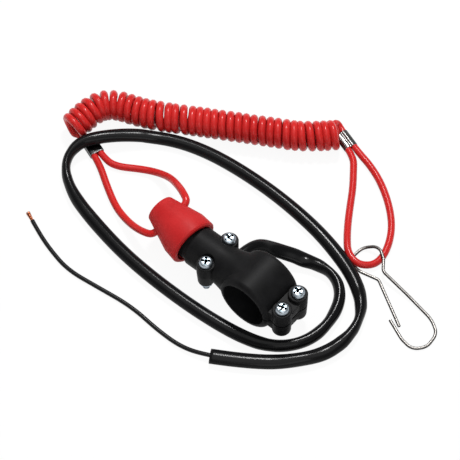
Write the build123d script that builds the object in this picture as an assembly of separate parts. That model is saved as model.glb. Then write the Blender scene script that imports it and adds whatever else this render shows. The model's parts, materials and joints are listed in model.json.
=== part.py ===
from build123d import *
import math
import os

os.makedirs("parts", exist_ok=True)

# Engine kill switch for a handlebar, with its pull-off cap, coiled lanyard and lead, in millimetres.
# The origin is the centre of the handlebar bore. +X runs along the body from the cap to the clamp
# screws, +Y runs along the handlebar, and +Z stands square to the split between the two halves.
# The switch lies on the underside of its collar, and every cord lies on that same surface.

# Collar and clamp
bar_diameter = 22.2
collar_wall = 2.8
collar_width = 22.0
collar_edge = 2.4
clamp_gap = 0.8
lug_x = 17.2
lug_half_spacing = 5.4
lug_radius = 4.4
lug_foot_radius = 4.2
lug_top = 7.4
lug_bottom = -8.0
lug_web_reach = 3.4
lug_web_half_height = 5.6

# Barrel, shoulder and the neck that the cap goes over
barrel_radius = 9.4
shoulder_x = -35.3
shoulder_round = 1.0
neck_radius = 8.2
neck_end_x = -43.5
flare_start_x = -22.0
flare_mid_x = -16.0
flare_end_x = -9.0
flare_crown_x = -3.5
flare_rise = 0.4
flare_end_drop = 2.4
flare_crown_drop = 0.4
flare_side_step = 0.5
flare_corner = 8.0

# Screws that hold the halves together beside the barrel
body_screw_x = -23.5
body_screw_half_spacing = 7.9
body_boss_radius = 4.2
body_boss_foot_radius = 3.7
body_boss_top = 6.4
body_boss_bottom = -7.0
screw_radius = 1.5
screw_clearance = 0.1
head_radius = 3.15
head_height = 2.2
head_round = 1.0
recess_span = 3.6
recess_slot = 0.9
recess_depth = 1.2
recess_floor_share = 0.65
pocket_radius = 3.9
pocket_round = 0.5
nut_across_flats = 5.5
nut_height = 2.4
nut_hole_clearance = 0.05
nut_fit = 0.1
body_nut_recess = 0.5
clamp_nut_recess = 2.6
thread_past_nut = 3.2

# Switch inside the barrel
plunger_radius = 3.0
plunger_fit = 0.08
plunger_tip_x = -47.4
plunger_tip_round = 0.9
plunger_travel = 3.0
neck_wall = 3.0
stop_gap = 0.3
flange_radius = 4.9
flange_thickness = 1.2
stem_radius = 1.0
disc_seat_radius = 0.75
tail_radius = 1.4
tail_thickness = 0.6
spring_room_radius = 5.4
base_radius = 6.3
base_front_x = -31.0
base_thickness = 2.5
base_fit = 0.05
stem_hole_clearance = 0.2
rear_room_radius = 4.6
rear_room_end_x = -14.9
disc_radius = 3.6
disc_thickness = 0.8
disc_fit = 0.02
terminal_thickness = 0.5
terminal_rivet_radius = 0.7
rivet_head_radius = 1.05
rivet_head_height = 0.35
terminal_rivet_y = 2.6
terminal_half_height = 0.8
terminal_inner_y = 1.6
contact_gap = 0.1
tail_blade_y = 3.95
strip_slot_gap = 0.1
strip_depth = 3.0
strip_top_gap = 0.3
strip_foot_width = 5.0
strip_bar_gap = 0.05
spring_wire = 0.7
spring_mean_radius = 2.9
spring_turns = 4
spring_end_gap = 0.05

# Cap
cap_rim_x = -37.6
cap_yaw = 9.0
cap_pitch = 4.0
cap_rim_radius = 11.8
cap_skirt_radius = 11.5
cap_skirt_length = 6.2
cap_end_radius = 6.9
cap_length = 22.5
cap_lip = 0.8
cap_bore_radius = 9.75
cap_bore_depth = 7.4
cap_socket_radius = 5.6
cap_tip_gap = 0.3
cap_hole_from_rim = 15.8
cap_hole_roll = 18.0
cap_hole_clearance = 0.25
cap_hole_bend = 10.6

# Cords
cord_diameter = 3.1
coil_outer_diameter = 14.2
sleeve_diameter = 5.6
sleeve_bore = 4.0
sleeve_fit = 0.05
sleeve_past_blade = 1.6
cable_entry_x = -17.0
wire_diameter = 2.0
copper_diameter = 1.3
copper_length = 4.8
arc_share = 0.45

# Crimp ferrules
ferrule_wall = 0.25
ferrule_waist = 2.4
ferrule_length = 9.4
ferrule_grip = 3.2
ferrule_fit = 0.02
ferrule_turn = -20.0
strand_clear = 3.0
cap_lead_reach = 11.5
hook_lead_reach = 9.5

# Snap hook
hook_wire = 1.4
hook_gap = 0.5

# How far a cutting tool reaches past the face it opens
past = 1.0

bar_radius = bar_diameter / 2
collar_radius = bar_radius + collar_wall
floor_z = -collar_radius
cord_radius = cord_diameter / 2
cord_z = floor_z + cord_radius
coil_z = floor_z + coil_outer_diameter / 2
sleeve_z = floor_z + sleeve_diameter / 2
wire_z = floor_z + wire_diameter / 2
hook_z = floor_z + hook_wire / 2
ferrule_z = floor_z + cord_radius + ferrule_fit + ferrule_wall
crossing_z = ferrule_z + (ferrule_z - floor_z) + sleeve_diameter + sleeve_diameter / 2
over_hook_z = floor_z + hook_wire + 2 * cord_diameter - cord_radius
hook_over_cord_z = floor_z + cord_diameter + hook_wire / 2 + hook_gap

strip_outer_y = tail_blade_y + terminal_thickness
wire_start_y = strip_outer_y
sleeve_start_y = wire_start_y + sleeve_past_blade


def turned(outline, x=0.0):
    """A solid turned about the X axis from (x, radius) points."""
    face = make_face(Polyline(*outline, close=True))
    return Pos(x, 0, 0) * revolve(Plane.XY * face, Axis.X, 360)


def rod_x(radius, x0, x1):
    return Pos((x0 + x1) / 2, 0, 0) * Rot(0, 90, 0) * Cylinder(radius, abs(x1 - x0))


def rod_z(radius, x, y, z0, z1):
    return Pos(x, y, (z0 + z1) / 2) * Cylinder(radius, abs(z1 - z0))


def span_box(x0, x1, y0, y1, z0, z1):
    return Pos((x0 + x1) / 2, (y0 + y1) / 2, (z0 + z1) / 2) * Box(x1 - x0, y1 - y0, z1 - z0)


def open_radii(points):
    """The radius of each corner's arc, as large as its two runs allow."""
    spots = [Vector(*p) for p in points]
    radii = []
    for before, at, after in zip(spots, spots[1:], spots[2:]):
        turn = math.radians((at - before).get_angle(after - at))
        run = min((at - before).length, (after - at).length)
        radii.append(arc_share * run / math.tan(turn / 2))
    return radii


def tube(points, diameter, label, bore=0.0, bends=None):
    """A cord or wire: straight runs joined by tangent arcs."""
    radii = bends or open_radii(points)
    print(label, "radii", [round(r, 1) for r in radii])
    path = FilletPolyline(*points, radius=radii)
    start = Plane(origin=path @ 0, z_dir=path % 0)
    section = Circle(diameter / 2)
    if bore:
        section = section - Circle(bore / 2)
    solid = sweep(start * section, path=path)
    wanted = path.length * section.area
    print(label, "length", round(path.length, 1), "volume share", round(solid.volume / wanted, 4))
    return solid


def save(shape, name):
    export_step(shape, "parts/" + name + ".step")


# Housing

def collar_form():
    ring = Rot(90, 0, 0) * Cylinder(collar_radius, collar_width)
    ends = ring.edges().filter_by(GeomType.CIRCLE)
    return fillet(ends, collar_edge)


def barrel_form():
    barrel = rod_x(barrel_radius, shoulder_x, flare_start_x)
    shoulder = barrel.edges().filter_by(GeomType.CIRCLE).sort_by(Axis.X)[0]
    barrel = fillet(shoulder, shoulder_round)
    neck = rod_x(neck_radius, neck_end_x, shoulder_x + shoulder_round)
    tip = neck.edges().filter_by(GeomType.CIRCLE).sort_by(Axis.X)[0]
    neck = chamfer(tip, shoulder_round)
    return barrel + neck


def flare_form():
    """The barrel widening into the collar."""
    width = collar_width - 2 * flare_side_step
    end_height = 2 * (collar_radius - flare_end_drop)
    crown_height = 2 * (collar_radius - flare_crown_drop)
    sections = [
        (flare_start_x, Circle(barrel_radius)),
        (flare_mid_x, Circle(barrel_radius + flare_rise)),
        (flare_end_x, RectangleRounded(end_height, width, flare_corner)),
        (flare_crown_x, RectangleRounded(crown_height, width, flare_corner)),
    ]
    return loft([Pos(x, 0, 0) * Rot(0, 90, 0) * section for x, section in sections])


def boss(radius, foot_radius, x, y, z0, z1):
    """A post as wide as radius above the split, narrowing to its foot below."""
    post = rod_z(radius, x, y, 0, z1) + Pos(x, y, z0 / 2) * Cone(foot_radius, radius, -z0)
    ends = post.edges().filter_by(GeomType.CIRCLE).sort_by(Axis.Z)
    return fillet([ends[0], ends[-1]], pocket_round)


def hexagon(x, y, z0, z1, across):
    face = RegularPolygon(across / 2, 6, major_radius=False)
    return Pos(x, y, z0) * extrude(face, z1 - z0)


def outer_form():
    form = collar_form() + barrel_form() + flare_form()
    for side in (-1, 1):
        y = side * body_screw_half_spacing
        form += boss(body_boss_radius, body_boss_foot_radius, body_screw_x, y,
                     body_boss_bottom, body_boss_top)
        y = side * lug_half_spacing
        form += boss(lug_radius, lug_foot_radius, lug_x, y, lug_bottom, lug_top)
    web_half = lug_half_spacing + lug_radius - pocket_round
    web = span_box(0, lug_x, -web_half, web_half, -lug_web_half_height, lug_web_half_height)
    web += span_box(lug_x, lug_x + lug_web_reach, -lug_half_spacing, lug_half_spacing,
                    -lug_web_half_height, lug_web_half_height)
    return form + web


def hollows():
    """Everything that is cut from both halves together."""
    cut = Rot(90, 0, 0) * Cylinder(bar_radius, 2 * collar_width)
    cut += span_box(bar_radius / 2, lug_x + 2 * lug_radius, -collar_width, collar_width,
                    -clamp_gap / 2, clamp_gap / 2)
    cut += rod_x(plunger_radius + plunger_fit, neck_end_x - past, base_front_x)
    cut += rod_x(spring_room_radius, neck_end_x + neck_wall, base_front_x)
    cut += rod_x(base_radius, base_front_x, base_front_x + base_thickness)
    cut += rod_x(rear_room_radius, base_front_x + base_thickness, rear_room_end_x)
    entry = Cylinder(sleeve_diameter / 2 + sleeve_fit, collar_width)
    cut += Pos(cable_entry_x, sleeve_start_y + collar_width / 2, 0) * Rot(90, 0, 0) * entry
    wire_way = Cylinder(sleeve_bore / 2, collar_width)
    cut += Pos(cable_entry_x, collar_width / 2, 0) * Rot(90, 0, 0) * wire_way
    for side in (-1, 1):
        cut += screw_hollow(body_screw_x, side * body_screw_half_spacing, body_boss_top,
                            body_boss_bottom, body_nut_recess, barrel_radius + past)
        cut += screw_hollow(lug_x, side * lug_half_spacing, lug_top,
                            lug_bottom, clamp_nut_recess, lug_top + head_height + past)
    return cut


def screw_hollow(x, y, seat, bottom, nut_recess, reach):
    """A screw's hole, with room for its head above and its nut below, each as far as reach."""
    hole = rod_z(screw_radius + screw_clearance, x, y, -reach, reach)
    hole += rod_z(pocket_radius, x, y, seat, reach)
    across = nut_across_flats + 2 * nut_fit
    return hole + hexagon(x, y, -reach, bottom + nut_recess, across)


def strip_slot():
    """The way that the ground strip takes through the lower half to the bar."""
    gap = strip_slot_gap
    slot = span_box(base_front_x + base_thickness, -bar_radius + past, -strip_outer_y - gap,
                    -tail_blade_y + gap, -strip_depth - gap, 0)
    foot = foot_ring(bar_radius - past, bar_radius + strip_bar_gap + terminal_thickness + gap)
    reach = span_box(-2 * bar_radius, 0, -strip_outer_y - gap,
                     -strip_outer_y + strip_foot_width + gap, -strip_depth - gap, 0)
    return slot + (foot & reach)


def foot_ring(inner, outer):
    return Rot(90, 0, 0) * (Cylinder(outer, collar_width) - Cylinder(inner, collar_width))


form = outer_form() - hollows()
beyond = 2 * abs(neck_end_x)
upper_side = span_box(-beyond, beyond, -beyond, beyond, 0, beyond)
lower_side = span_box(-beyond, beyond, -beyond, beyond, -beyond, 0)
housing_upper = form & upper_side
housing_lower = (form & lower_side) - strip_slot()
save(housing_upper, "housing_upper")
save(housing_lower, "housing_lower")


# Fasteners

def pan_screw(x, y, seat, tip):
    head = Pos(x, y, seat + head_height / 2) * Cylinder(head_radius, head_height)
    head = fillet(head.edges().filter_by(GeomType.CIRCLE).sort_by(Axis.Z)[-1], head_round)
    screw = head + rod_z(screw_radius, x, y, tip, seat + head_height / 2)
    top = seat + head_height
    for turn in (0, 90):
        share = recess_floor_share
        deep = Pos(0, 0, -recess_depth) * Rectangle(recess_span * share, recess_slot * share)
        slot = loft([deep, Rectangle(recess_span, recess_slot)])
        screw -= Pos(x, y, top) * Rot(0, 0, turn) * slot
    return screw


def hex_nut(x, y, bottom):
    top = bottom + nut_height
    nut = hexagon(x, y, bottom, top, nut_across_flats)
    corner = nut_across_flats / 2 / math.cos(math.pi / 6)
    turned_blank = rod_z(corner, x, y, bottom, top)
    dome = chamfer(turned_blank.edges(), corner - nut_across_flats / 2)
    hole = rod_z(screw_radius + nut_hole_clearance, x, y, bottom - past, top + past)
    return (nut & dome) - hole


def pair(maker, *places):
    return Compound(children=[maker(*place) for place in places])


body_nut_bottom = body_boss_bottom + body_nut_recess - nut_fit - nut_height
clamp_nut_bottom = lug_bottom + clamp_nut_recess - nut_fit - nut_height
body_spots = [(body_screw_x, side * body_screw_half_spacing) for side in (-1, 1)]
lug_spots = [(lug_x, side * lug_half_spacing) for side in (-1, 1)]
save(pair(pan_screw, *[(x, y, body_boss_top, body_nut_bottom - thread_past_nut)
                       for x, y in body_spots]), "housing_screws")
save(pair(pan_screw, *[(x, y, lug_top, clamp_nut_bottom) for x, y in lug_spots]), "clamp_screws")
save(pair(hex_nut, *[(x, y, body_nut_bottom) for x, y in body_spots]), "housing_nuts")
save(pair(hex_nut, *[(x, y, clamp_nut_bottom) for x, y in lug_spots]), "clamp_nuts")


# Switch: plunger, spring, contact disc, insulating base and the two terminals

base_rear_x = base_front_x + base_thickness
terminal_rear_x = base_rear_x + terminal_thickness
disc_front_x = terminal_rear_x + contact_gap + plunger_travel
flange_front_x = neck_end_x + neck_wall + stop_gap + plunger_travel
flange_rear_x = flange_front_x + flange_thickness
disc_rear_x = disc_front_x + disc_thickness

plunger = turned([
    (plunger_tip_x, 0),
    (plunger_tip_x, plunger_radius),
    (flange_front_x, plunger_radius),
    (flange_front_x, flange_radius),
    (flange_rear_x, flange_radius),
    (flange_rear_x, stem_radius),
    (disc_front_x, stem_radius),
    (disc_front_x, disc_seat_radius),
    (disc_rear_x, disc_seat_radius),
    (disc_rear_x, tail_radius),
    (disc_rear_x + tail_thickness, tail_radius),
    (disc_rear_x + tail_thickness, 0),
])
tip_edge = plunger.edges().filter_by(GeomType.CIRCLE).sort_by(Axis.X)[0]
save(fillet(tip_edge, plunger_tip_round), "plunger")

contact_disc = rod_x(disc_radius, disc_front_x, disc_rear_x)
contact_disc -= rod_x(disc_seat_radius + disc_fit, disc_front_x - past, disc_rear_x + past)
save(contact_disc, "contact_disc")

contact_base = rod_x(base_radius - base_fit, base_front_x + base_fit, base_rear_x - base_fit)
contact_base -= rod_x(stem_radius + stem_hole_clearance, base_front_x - past, base_rear_x + past)
for side in (-1, 1):
    hole = rod_x(terminal_rivet_radius + base_fit, base_front_x - past, base_rear_x + past)
    contact_base -= Pos(0, side * terminal_rivet_y, 0) * hole
save(contact_base, "contact_base")


def terminal_rivet(side):
    shank = rod_x(terminal_rivet_radius, base_front_x, base_rear_x + terminal_thickness / 2)
    rolled = rod_x(rivet_head_radius, base_front_x - rivet_head_height, base_front_x + base_fit)
    return Pos(0, side * terminal_rivet_y, 0) * (shank + rolled)


def contact_tab(side, z0, z1):
    ys = sorted((side * terminal_inner_y, side * strip_outer_y))
    return span_box(base_rear_x, terminal_rear_x, ys[0], ys[1], z0, z1)


blade_end_x = cable_entry_x + wire_diameter
terminal_signal = terminal_rivet(1) + contact_tab(1, -terminal_half_height, terminal_half_height)
terminal_signal += span_box(base_rear_x, blade_end_x, tail_blade_y, strip_outer_y,
                            -terminal_half_height, terminal_half_height)
save(terminal_signal, "terminal_signal")

strip_end_x = -(bar_radius + strip_bar_gap)
ground_strip = terminal_rivet(-1) + contact_tab(-1, -terminal_half_height, terminal_half_height)
ground_strip += span_box(base_rear_x, strip_end_x, -strip_outer_y, -tail_blade_y,
                         -strip_depth, -strip_top_gap)
bar_side = foot_ring(bar_radius + strip_bar_gap, bar_radius + strip_bar_gap + terminal_thickness)
foot = bar_side & span_box(-2 * bar_radius, 0, -strip_outer_y, -strip_outer_y + strip_foot_width,
                           -strip_depth, -strip_top_gap)
past_bar = Rot(90, 0, 0) * Cylinder(bar_radius + strip_bar_gap, collar_width)
ground_strip = (ground_strip - past_bar) + foot
save(ground_strip, "ground_strip")

spring_room = base_front_x - rivet_head_height - flange_rear_x
spring_length = spring_room - spring_wire - 2 * spring_end_gap
coil_line = Helix(spring_length / spring_turns, spring_length, spring_mean_radius)
coil_start = Plane(origin=coil_line @ 0, z_dir=coil_line % 0)
spring = sweep(coil_start * Circle(spring_wire / 2), path=coil_line, is_frenet=True)
spring_x = flange_rear_x + spring_wire / 2 + spring_end_gap
save(Pos(spring_x, 0, 0) * Rot(0, 90, 0) * spring, "plunger_spring")


# Cap, turned about its own axis and set a little askew on the neck

def cap_place():
    return Pos(cap_rim_x, 0, 0) * Rot(0, 0, -cap_yaw) * Rot(0, cap_pitch, 0)


socket_depth = (cap_rim_x - plunger_tip_x) + cap_tip_gap
cap_outline = [
    (cap_lip, cap_bore_radius),
    (cap_lip, cap_rim_radius - cap_lip),
    (0, cap_rim_radius),
    (-cap_skirt_length, cap_skirt_radius),
    (-cap_length, cap_end_radius),
    (-cap_length, 0),
    (-socket_depth, 0),
    (-socket_depth, cap_socket_radius),
    (-cap_bore_depth, cap_socket_radius),
    (-cap_bore_depth, cap_bore_radius),
]
tether_cap = turned(cap_outline)
hole = Rot(90, 0, 0) * Cylinder(cord_radius + cap_hole_clearance, 4 * cap_rim_radius)
tether_cap -= Pos(-cap_hole_from_rim, 0, 0) * Rot(cap_hole_roll, 0, 0) * hole
tether_cap = cap_place() * tether_cap
save(tether_cap, "tether_cap")


# Crimp ferrules: two lobes pressed round two strands, with a waist between them

strand_side = cord_radius + ferrule_fit / 2
end_x = ferrule_length / 2


def ferrule(place):
    body = span_box(-end_x, end_x, -strand_side, strand_side, -ferrule_waist / 2, ferrule_waist / 2)
    lobe = rod_x(cord_radius + ferrule_fit + ferrule_wall, -end_x, end_x)
    bore = rod_x(cord_radius + ferrule_fit, -end_x - past, end_x + past)
    for side in (-1, 1):
        body += Pos(0, side * strand_side, 0) * lobe
    for side in (-1, 1):
        body -= Pos(0, side * strand_side, 0) * bore
    return place * body


def strand_spot(place, along, side):
    """A point on one of the ferrule's two bores, from its middle."""
    return tuple((place * Pos(along, side * strand_side, 0)).position)


cap_ferrule_place = Pos(-113.8, 16.3, ferrule_z) * Rot(0, 0, ferrule_turn)
hook_ferrule_place = Pos(-25.2, 95.0, ferrule_z) * Rot(0, 0, ferrule_turn)
save(ferrule(cap_ferrule_place), "cap_ferrule")
save(ferrule(hook_ferrule_place), "hook_ferrule")
inside = end_x - ferrule_grip
clear = end_x + strand_clear


# Loop through the cap: out of the ferrule, up over and through the cross hole, down and back

def hole_spot(out):
    """A point on the axis of the cap's cross hole, from the cap's own axis."""
    axis = cap_place() * Pos(-cap_hole_from_rim, 0, 0) * Rot(cap_hole_roll, 0, 0)
    return tuple((axis * Pos(0, out, 0)).position)


cap_loop_route = [
    strand_spot(cap_ferrule_place, inside, 1),
    strand_spot(cap_ferrule_place, clear, 1),
    (-97.0, 15.2, cord_z),
    (-88.6, 20.4, cord_z),
    (-81.6, 23.5, -11.6),
    (-73.0, 23.6, -6.8),
    (-63.8, 20.2, -0.8),
    (-56.8, 15.9, 3.4),
    hole_spot(cap_hole_bend),
    hole_spot(-cap_hole_bend),
    (-59.6, -8.1, -4.0),
    (-66.0, -7.2, -7.2),
    (-73.5, -4.4, -10.2),
    (-82.0, -0.6, cord_z),
    (-93.0, 5.4, cord_z),
    strand_spot(cap_ferrule_place, clear, -1),
    strand_spot(cap_ferrule_place, inside, -1),
]
save(tube(cap_loop_route, cord_diameter, "cap_loop"), "cap_loop")


# Coil: the outer shape of its turns, with the short strands that lead from it into the ferrules

coil_route = [
    (-126.0, 20.4, coil_z),
    (-127.0, 29.6, coil_z),
    (-118.4, 37.0, coil_z),
    (-90.5, 50.9, coil_z),
    (-60.5, 68.0, coil_z),
    (-40.5, 79.6, coil_z),
    (-29.6, 90.2, coil_z),
]
coil = tube(coil_route, coil_outer_diameter, "coil")
cap_lead = cap_ferrule_place * Pos(0, strand_side, 0) * rod_x(cord_radius, -cap_lead_reach, -inside)
hook_lead = tube([
    (-36.0, 91.0, coil_z),
    (-36.2, 97.0, -10.0),
    strand_spot(hook_ferrule_place, -hook_lead_reach, 1),
    strand_spot(hook_ferrule_place, -inside, 1),
], cord_diameter, "hook_lead")
save(coil + cap_lead + hook_lead, "lanyard_coil")


# Loop that carries the hook: over the eye's near side and under its far side

hook_loop_route = [
    strand_spot(hook_ferrule_place, inside, -1),
    strand_spot(hook_ferrule_place, clear, -1),
    (-13.0, 84.6, cord_z),
    (-6.4, 75.4, cord_z),
    (-1.0, 66.4, cord_z),
    (4.4, 57.8, -11.8),
    (9.6, 50.6, over_hook_z),
    (14.6, 44.8, over_hook_z),
    (21.6, 42.4, over_hook_z),
    (26.8, 46.8, -11.6),
    (27.3, 54.0, cord_z),
    (24.4, 63.0, cord_z),
    (19.2, 71.4, cord_z),
    (11.0, 79.4, cord_z),
    (0.5, 86.2, cord_z),
    (-9.5, 90.6, cord_z),
    strand_spot(hook_ferrule_place, clear, 1),
    strand_spot(hook_ferrule_place, inside, 1),
]
save(tube(hook_loop_route, cord_diameter, "hook_loop"), "hook_loop")


# Snap hook: one bent spring wire, from the gate's tip round the eye to the end of the hook

hook_route = [
    (54.2, 30.9, hook_z),
    (32.6, 44.2, hook_z),
    (22.3, 42.0, hook_z),
    (16.2, 44.6, hook_z),
    (16.6, 53.0, hook_z),
    (23.2, 56.6, hook_over_cord_z),
    (28.8, 52.4, hook_over_cord_z),
    (32.6, 47.0, hook_over_cord_z),
    (48.0, 45.5, hook_z + 1.0),
    (63.0, 42.8, hook_z),
    (69.0, 38.6, hook_z),
    (69.8, 30.6, hook_z),
    (65.6, 25.2, hook_z),
    (59.0, 26.4, hook_z),
    (49.2, 30.9, hook_z),
]
hook_bends = [2.5, 8.0, 4.5, 5.0, 5.5, 6.0, 3.5, 40.0, 14.0, 6.5, 6.5, 5.5, 9.0]
save(tube(hook_route, hook_wire, "snap_hook", bends=hook_bends), "snap_hook")


# Lead: a hollow sleeve out of the housing's far side, with one thin wire through it and on

sleeve_route = [
    (cable_entry_x, sleeve_start_y, 0),
    (cable_entry_x, 17.0, 0),
    (-9.5, 24.8, -8.0),
    (4.5, 31.6, sleeve_z),
    (17.5, 32.4, sleeve_z),
    (26.8, 25.0, sleeve_z),
    (30.9, 10.5, sleeve_z),
    (28.8, -3.0, sleeve_z),
    (20.0, -13.6, sleeve_z),
    (6.0, -18.4, sleeve_z),
    (-16.0, -20.7, sleeve_z),
    (-40.0, -20.8, sleeve_z),
    (-62.0, -19.2, sleeve_z),
    (-83.0, -15.2, sleeve_z),
    (-101.0, -10.4, sleeve_z),
    (-114.0, -2.5, -7.5),
    (-120.0, 10.0, crossing_z),
    (-112.5, 22.5, crossing_z),
    (-102.0, 32.0, -7.5),
    (-88.0, 42.0, sleeve_z),
    (-70.0, 47.6, sleeve_z),
    (-48.0, 49.6, sleeve_z),
    (-24.0, 49.0, sleeve_z),
    (0.0, 45.6, sleeve_z),
    (22.0, 38.4, sleeve_z),
    (36.2, 28.4, sleeve_z),
    (42.0, 14.5, sleeve_z),
    (39.0, -2.0, sleeve_z),
    (29.0, -15.2, sleeve_z),
    (15.0, -26.4, sleeve_z),
    (1.2, -34.4, sleeve_z),
]
save(tube(sleeve_route, sleeve_diameter, "cable_sleeve", sleeve_bore), "cable_sleeve")

wire_end = (-106.6, -31.6, wire_z)
wire_route = [(cable_entry_x, wire_start_y, 0)] + sleeve_route[1:] + [
    (-10.5, -38.4, wire_z + 0.4),
    (-24.5, -38.6, wire_z),
    (-42.0, -36.8, wire_z),
    (-60.0, -38.9, wire_z),
    (-76.5, -40.8, wire_z),
    (-90.0, -37.8, wire_z),
    (-99.5, -34.6, wire_z),
    wire_end,
]
save(tube(wire_route, wire_diameter, "signal_wire"), "signal_wire")

wire_heading = (Vector(*wire_end) - Vector(*wire_route[-2])).normalized()
copper_line = Line(wire_end, Vector(*wire_end) + wire_heading * copper_length)
copper_start = Plane(origin=copper_line @ 0, z_dir=copper_line % 0)
save(sweep(copper_start * Circle(copper_diameter / 2), path=copper_line), "bare_copper")
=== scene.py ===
import json
import math
import random
import bmesh
import bpy
from mathutils import Matrix, Vector

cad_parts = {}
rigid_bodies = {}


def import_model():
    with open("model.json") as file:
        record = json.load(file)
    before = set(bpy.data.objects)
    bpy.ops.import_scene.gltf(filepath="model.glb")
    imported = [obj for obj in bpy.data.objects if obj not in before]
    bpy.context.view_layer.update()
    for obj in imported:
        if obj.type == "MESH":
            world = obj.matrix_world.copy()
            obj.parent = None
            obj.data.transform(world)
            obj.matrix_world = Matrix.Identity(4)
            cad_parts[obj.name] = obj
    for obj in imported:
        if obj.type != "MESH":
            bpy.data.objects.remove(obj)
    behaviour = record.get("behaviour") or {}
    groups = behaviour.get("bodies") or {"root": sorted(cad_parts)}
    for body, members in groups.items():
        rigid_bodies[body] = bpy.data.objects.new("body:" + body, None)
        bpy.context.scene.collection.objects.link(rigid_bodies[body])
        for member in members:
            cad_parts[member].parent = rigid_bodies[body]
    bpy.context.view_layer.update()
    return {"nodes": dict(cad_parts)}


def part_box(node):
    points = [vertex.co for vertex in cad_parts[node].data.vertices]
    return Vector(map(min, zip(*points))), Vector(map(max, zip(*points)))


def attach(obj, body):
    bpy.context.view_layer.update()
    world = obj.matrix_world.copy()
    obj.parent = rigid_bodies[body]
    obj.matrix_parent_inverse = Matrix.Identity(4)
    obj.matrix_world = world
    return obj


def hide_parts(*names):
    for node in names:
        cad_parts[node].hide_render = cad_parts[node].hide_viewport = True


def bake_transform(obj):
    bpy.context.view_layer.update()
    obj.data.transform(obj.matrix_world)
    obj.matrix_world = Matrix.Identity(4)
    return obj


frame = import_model()
print("frame loaded")

mm = 0.001
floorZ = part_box("housing_lower")[0].z        # the switch lies on the underside of its collar


def inMetres(points):
    return [Vector(point) * mm for point in points]


class Link:                                  # a shader socket that can be used in sums
    def __init__(self, wiring, socket):
        self.wiring = wiring
        self.socket = socket

    def math(self, operation, first, second):
        return self.wiring.node("ShaderNodeMath", {"operation": operation}, {0: first, 1: second})

    def __add__(self, other):
        return self.math("ADD", self, other)

    def __sub__(self, other):
        return self.math("SUBTRACT", self, other)

    def __mul__(self, other):
        return self.math("MULTIPLY", self, other)

    def __rsub__(self, other):
        return self.math("SUBTRACT", other, self)

    __radd__ = __add__
    __rmul__ = __mul__


class Wiring:                                # makes and joins the nodes of one shader tree
    def __init__(self, tree):
        self.tree = tree

    def node(self, kind, settings=None, sockets=None, output=0):
        made = self.tree.nodes.new(kind)
        for name, value in (settings or {}).items():
            if name == "stops":
                self.fillRamp(made.color_ramp, value)
            else:
                setattr(made, name, value)
        for name, value in (sockets or {}).items():
            self.feed(made.inputs[name], value)
        return Link(self, made.outputs[output])

    def fillRamp(self, ramp, stops):
        while len(ramp.elements) < len(stops):
            ramp.elements.new(0.5)
        for element, (position, value) in zip(ramp.elements, stops):
            element.position = position
            element.color = (value, value, value, 1) if isinstance(value, float) else (*value, 1)

    def feed(self, socket, value):
        if isinstance(value, Link):
            self.tree.links.new(value.socket, socket)
        elif isinstance(value, tuple) and len(value) == 3 and socket.type == "RGBA":
            socket.default_value = (*value, 1)
        else:
            socket.default_value = value

    def mix(self, amount, low, high):
        return self.node("ShaderNodeMix", {"data_type": "RGBA"}, {0: amount, 6: low, 7: high}, 2)


finishSizes = {"colourStops": (0.3, 0.7), "recessShadeSamples": 8}


class Finish(Wiring):                        # one material, with its Principled shader
    def __init__(self, name, **constants):
        self.material = bpy.data.materials.new(name)
        self.material.use_nodes = True
        super().__init__(self.material.node_tree)
        self.shader = self.tree.nodes["Principled BSDF"]
        for socket, value in constants.items():
            self.feed(self.shader.inputs[self.spaced(socket)], value)
        self.place = self.node("ShaderNodeTexCoord", output="Object")

    def spaced(self, name):                  # specularTint -> Specular Tint
        words = "".join(" " + letter if letter.isupper() else letter for letter in name)
        return (words[0].upper() + words[1:]).replace("I O R", "IOR")

    def noise(self, size, detail, roughness=0.5, stretch=(1, 1, 1)):
        spot = self.node("ShaderNodeMapping", None, {"Vector": self.place, "Scale": stretch})
        return self.node("ShaderNodeTexNoise", None, {
            "Vector": spot, "Scale": 1 / size, "Detail": detail, "Roughness": roughness})

    def colour(self, amount, low, high):
        stops = list(zip(finishSizes["colourStops"], (low, high)))
        return self.node("ShaderNodeValToRGB", {"stops": stops}, {"Fac": amount})

    def crevice(self, reach, low, high):     # painted shade mask: 0 in a groove or a recess, where shade falls, 1 on open faces
        openness = self.node("ShaderNodeAmbientOcclusion", {
            "samples": finishSizes["recessShadeSamples"], "only_local": True}, {"Distance": reach}, "AO")
        return self.node("ShaderNodeMapRange", None, {"Value": openness, "From Min": low, "From Max": high})

    def bump(self, height, depth):
        made = self.node("ShaderNodeBump", None, {"Height": height, "Distance": depth, "Strength": 1.0})
        self.feed(self.shader.inputs["Normal"], made)


housingFinish = {"dark": (0.0050, 0.0050, 0.0053), "light": (0.0095, 0.0095, 0.0100), "grain": 0.00035,
                 "grainDepth": 0.000010, "roughness": 0.50, "shine": 0.08}
capFinish = {"dark": (0.40, 0.012, 0.013), "light": (0.49, 0.020, 0.021), "grain": 0.0006,
             "grainDepth": 0.000012, "roughness": 0.50, "shine": 0.12}
cordFinish = {"dark": (0.46, 0.014, 0.014), "light": (0.55, 0.022, 0.020), "grain": 0.0022,
              "grainDepth": 0.000004, "roughness": 0.24, "shine": 0.20}
sleeveFinish = {"dark": (0.0040, 0.0040, 0.0044), "light": (0.0080, 0.0080, 0.0086), "grain": 0.0060,
                "grainDepth": 0.0, "roughness": 0.20, "shine": 0.12}
wireFinish = {"dark": (0.0050, 0.0050, 0.0055), "light": (0.0100, 0.0100, 0.0105), "grain": 0.0030,
              "grainDepth": 0.0, "roughness": 0.26, "shine": 0.20}

plasticMix = {"cloudSize": 14, "cloudShare": 0.7, "grainShare": 0.3, "cloudRoughness": 0.10,
              "grainRoughness": 0.04, "middle": 0.07}


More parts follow.
